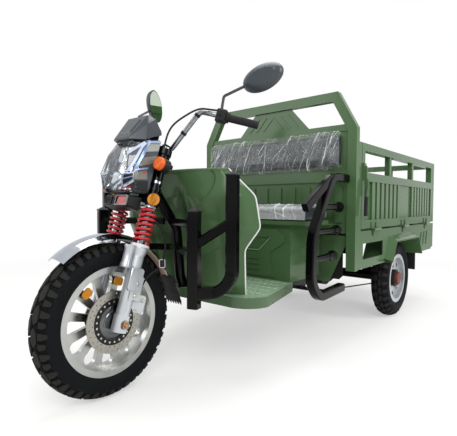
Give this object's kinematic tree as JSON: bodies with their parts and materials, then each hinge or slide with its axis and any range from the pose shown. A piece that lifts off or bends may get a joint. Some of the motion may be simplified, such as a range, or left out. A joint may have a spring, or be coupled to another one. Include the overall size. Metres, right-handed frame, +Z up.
{
  "type": "electric cargo tricycle",
  "caption": "Three-wheeled electric cargo vehicle with a steered front fork, bench seat, step-through floor and a drop-side cargo box.",
  "frame": {"origin": "on the floor under the middle of the vehicle", "axes": "+Z up, -Y forward, +X to the rider's left"},
  "size_m": [1.15, 3.1008, 1.3793],
  "materials": {
    "olive_paint": "glossy olive green paint",
    "black_paint": "glossy black paint",
    "tyre_rubber": "matt black rubber",
    "alloy": "machined and lacquered alloy",
    "silver_paint": "silver paint",
    "chrome": "bright chrome plate",
    "steel": "ground steel",
    "spring_red": "glossy red powder coat",
    "black_plastic": "moulded black plastic",
    "grey_plastic": "moulded grey plastic",
    "clear_lens": "clear moulded lens",
    "amber_lens": "amber moulded lens",
    "red_lens": "red moulded lens",
    "mirror_glass": "silvered glass",
    "rubber": "black moulded rubber",
    "seat_vinyl": "grey vinyl under clear film",
    "grey_drum": "painted black casting"
  },
  "bodies": {
    "chassis": {"leg_shield": "olive_paint", "footboard": "olive_paint", "front_guards": "black_paint", "steering_neck": "black_paint", "chassis_frame": "black_paint", "leaf_springs": "black_paint", "rear_axle": "black_paint", "drive_motor": "silver_paint", "brake_linkage": "black_paint", "foot_pedal": "black_paint", "seat_box": "olive_paint", "battery_pack": "black_plastic", "backrest": "seat_vinyl", "seat_guards": "black_paint", "headboard_frame": "olive_paint", "headboard_panel": "olive_paint", "front_wall": "olive_paint", "cargo_floor": "olive_paint", "side_skirts": "olive_paint", "rear_beam": "olive_paint", "tail_lamps": "red_lens", "rear_mudflaps": "rubber"},
    "steering": {"front_axle": "steel", "fork_legs": "silver_paint", "fork_tubes": "chrome", "fork_springs": "spring_red", "fork_clamps": "black_paint", "handlebar": "chrome", "grips": "rubber", "switch_housings": "black_plastic", "mirrors": "grey_plastic", "mirror_glass": "mirror_glass", "headlamp_housing": "grey_plastic", "headlamp_reflector": "chrome", "headlamp_lens": "clear_lens", "visor_cowl": "grey_plastic", "lower_cover": "black_plastic", "lamp_ears": "black_paint", "turn_lamps": "amber_lens", "side_reflectors": "amber_lens", "front_fender": "chrome", "front_mudflap": "rubber", "brake_caliper": "steel", "control_cable": "rubber", "brake_hose": "rubber"},
    "front_wheel": {"front_tyre": "tyre_rubber", "front_rim": "alloy", "disc_carrier": "black_plastic", "brake_disc": "steel"},
    "rear_wheel_left": {"rear_tyre_left": "tyre_rubber", "rear_rim_left": "silver_paint", "rear_hub_left": "grey_drum"},
    "rear_wheel_right": {"rear_tyre_right": "tyre_rubber", "rear_rim_right": "silver_paint", "rear_hub_right": "grey_drum"},
    "left_gate": {"side_gate_left": "olive_paint"},
    "right_gate": {"side_gate_right": "olive_paint"},
    "rear_gate": {"tailgate": "olive_paint"},
    "seat_lid": {"seat_pan": "olive_paint", "seat_cushion": "seat_vinyl"}
  },
  "joints": [
    {"name": "steer", "type": "hinge", "parent": "chassis", "child": "steering", "pos_m": [0, -1.21227, 0.29401], "axis": [0, 0.314, 0.9494], "range_deg": [-38, 38]},
    {"name": "front_spin", "type": "hinge", "parent": "steering", "child": "front_wheel", "pos_m": [0, -1.2455, 0.305], "axis": [1, 0, 0], "continuous": true},
    {"name": "rear_left_spin", "type": "hinge", "parent": "chassis", "child": "rear_wheel_left", "pos_m": [0.445, 0.7725, 0.262], "axis": [1, 0, 0], "continuous": true},
    {"name": "rear_right_spin", "type": "hinge", "parent": "chassis", "child": "rear_wheel_right", "pos_m": [-0.445, 0.7725, 0.262], "axis": [1, 0, 0], "continuous": true},
    {"name": "left_gate_drop", "type": "hinge", "parent": "chassis", "child": "left_gate", "pos_m": [0.548, 0.7445, 0.626], "axis": [0, 1, 0], "range_deg": [0, 160]},
    {"name": "right_gate_drop", "type": "hinge", "parent": "chassis", "child": "right_gate", "pos_m": [-0.548, 0.7445, 0.626], "axis": [0, -1, 0], "range_deg": [0, 160]},
    {"name": "rear_gate_drop", "type": "hinge", "parent": "chassis", "child": "rear_gate", "pos_m": [0, 1.5415, 0.626], "axis": [-1, 0, 0], "range_deg": [0, 160]},
    {"name": "seat_lift", "type": "hinge", "parent": "chassis", "child": "seat_lid", "pos_m": [0, -0.1535, 0.676], "axis": [-1, 0, 0], "range_deg": [0, 65]}
  ]
}
